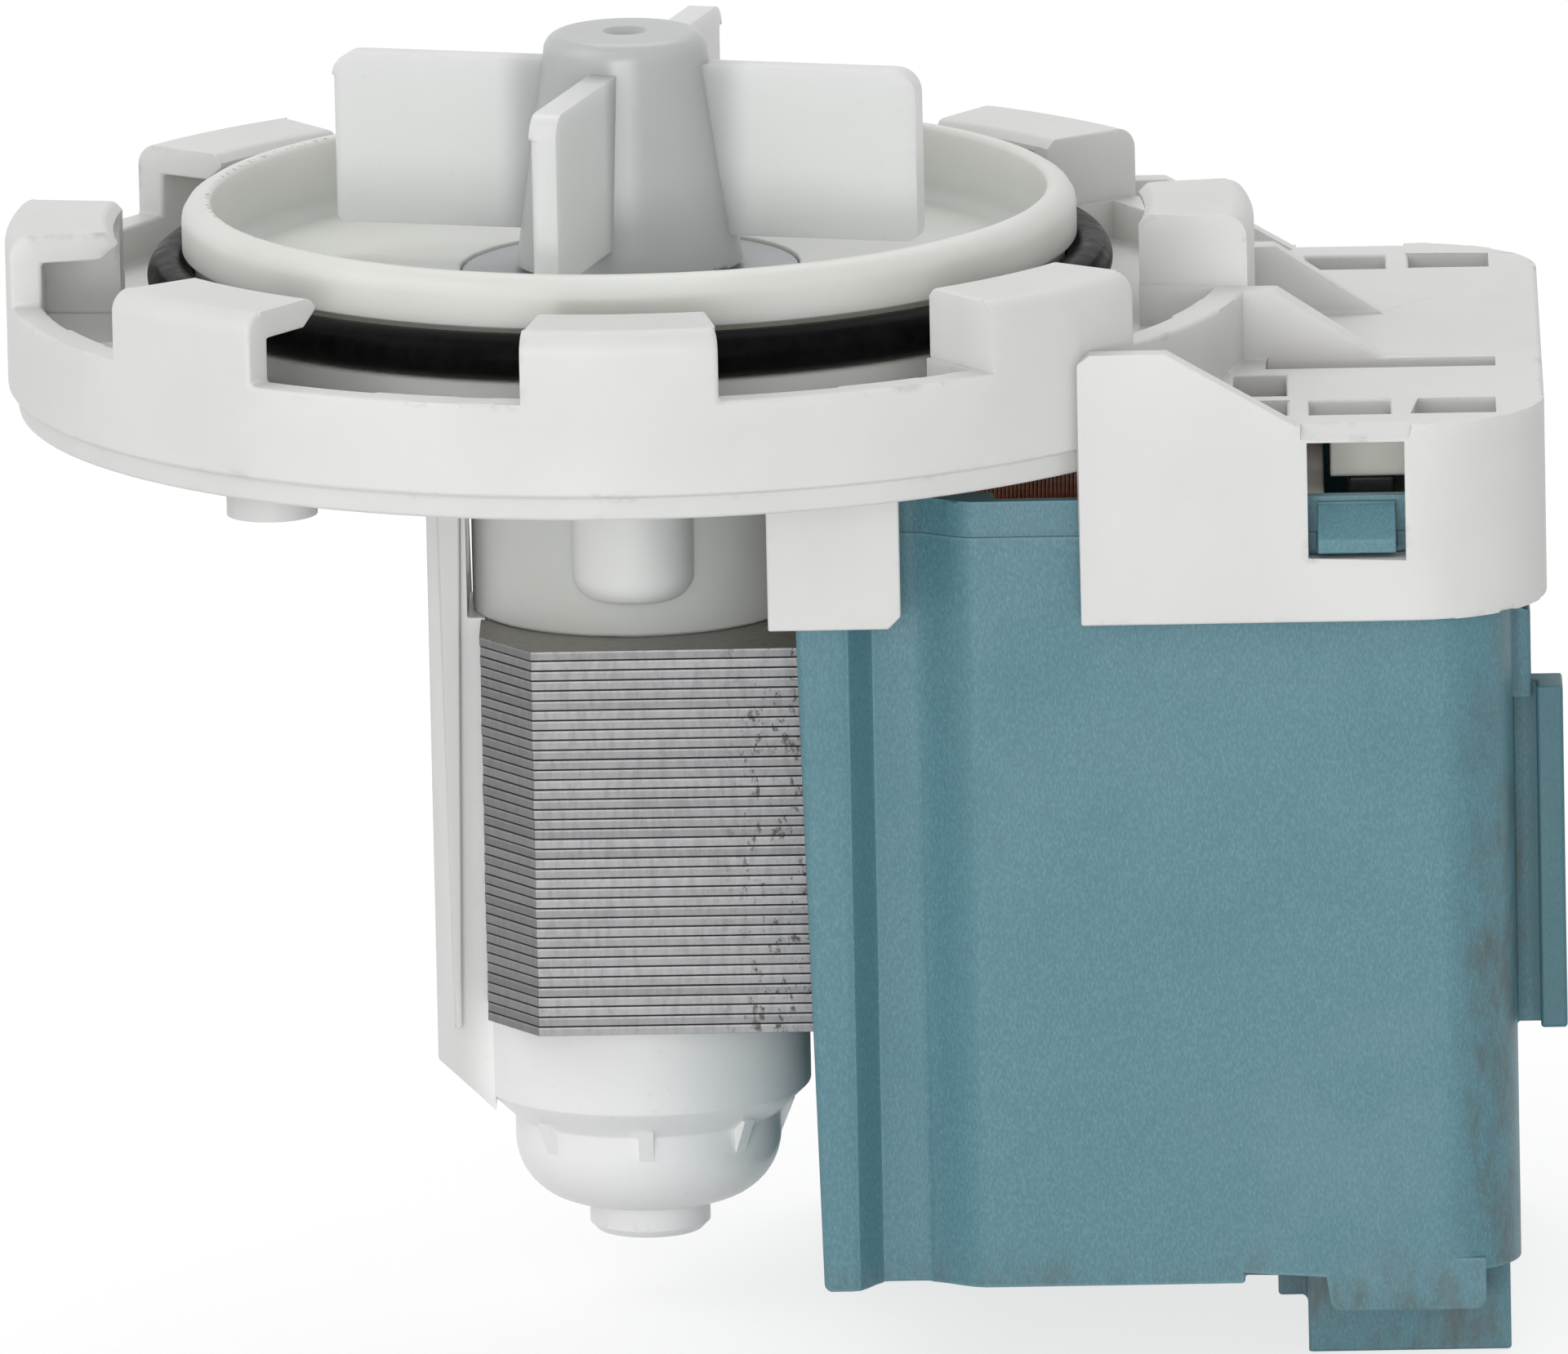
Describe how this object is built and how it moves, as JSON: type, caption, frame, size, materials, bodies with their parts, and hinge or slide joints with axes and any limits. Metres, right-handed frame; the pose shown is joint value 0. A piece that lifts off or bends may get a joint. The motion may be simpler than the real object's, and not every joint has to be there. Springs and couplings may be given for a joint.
{
  "type": "washer drain pump",
  "caption": "Drain pump for a washing machine: bayonet ring with hooks, sealed spigot, open bladed impeller on a lost-motion coupling, laminated stator and side coil housing.",
  "frame": {"origin": "on the rotor axis, half way up the plain land of the sealing spigot", "axes": "+Z along the rotor axis towards the impeller, +X towards the coil housing, -Y the front with the latch window beside the connector"},
  "size_m": [0.0996, 0.0804, 0.0834],
  "materials": {
    "white_plastic": "fine satin moulding, slightly warm",
    "ivory_plastic": "fine satin moulding, slightly yellow",
    "milky_plastic": "translucent, half gloss",
    "impeller_plastic": "translucent, half gloss",
    "grey_plastic": "satin",
    "bobbin_plastic": "satin",
    "black_rubber": "matt with a soft sheen",
    "black_plastic": "satin",
    "teal_plastic": "satin with fine mottle",
    "lamination": "sheared sheet edges",
    "shaft_steel": "ground",
    "sintered_bronze": "dull, porous",
    "enamelled_copper": "lacquered wire",
    "tinned_brass": "bright",
    "ferrite": "dull grey black",
    "lead_insulation": "satin"
  },
  "bodies": {
    "stator": {"mounting_bracket": "white_plastic", "chamber_cover": "ivory_plastic", "o_ring": "black_rubber", "seal_carrier": "grey_plastic", "lip_seal": "black_rubber", "front_bush": "sintered_bronze", "rotor_can": "milky_plastic", "rear_cushion": "black_rubber", "rear_bush": "sintered_bronze", "front_pole_stack": "lamination", "back_pole_stack": "lamination", "yoke_stack": "lamination", "front_bobbin": "bobbin_plastic", "back_bobbin": "bobbin_plastic", "front_winding": "enamelled_copper", "back_winding": "enamelled_copper", "front_outer_layer": "enamelled_copper", "back_outer_layer": "enamelled_copper", "terminal_carrier": "bobbin_plastic", "thermal_protector": "black_plastic", "coil_housing": "teal_plastic", "terminal_tabs": "tinned_brass", "lead_wires": "lead_insulation"},
    "rotor": {"rotor_shaft": "shaft_steel", "rotor_magnet": "ferrite", "magnet_hub": "milky_plastic", "driver_dog": "impeller_plastic", "thrust_washers": "shaft_steel"},
    "impeller": {"impeller": "impeller_plastic", "hub_base": "impeller_plastic", "clutch_buffer": "black_rubber"}
  },
  "joints": [
    {"name": "rotor_spin", "type": "hinge", "parent": "stator", "child": "rotor", "pos_m": [0, 0, 0], "axis": [0, 0, 1], "continuous": true},
    {"name": "impeller_play", "type": "hinge", "parent": "rotor", "child": "impeller", "pos_m": [0, 0, 0], "axis": [0, 0, 1], "range_deg": [-112, 112]}
  ]
}
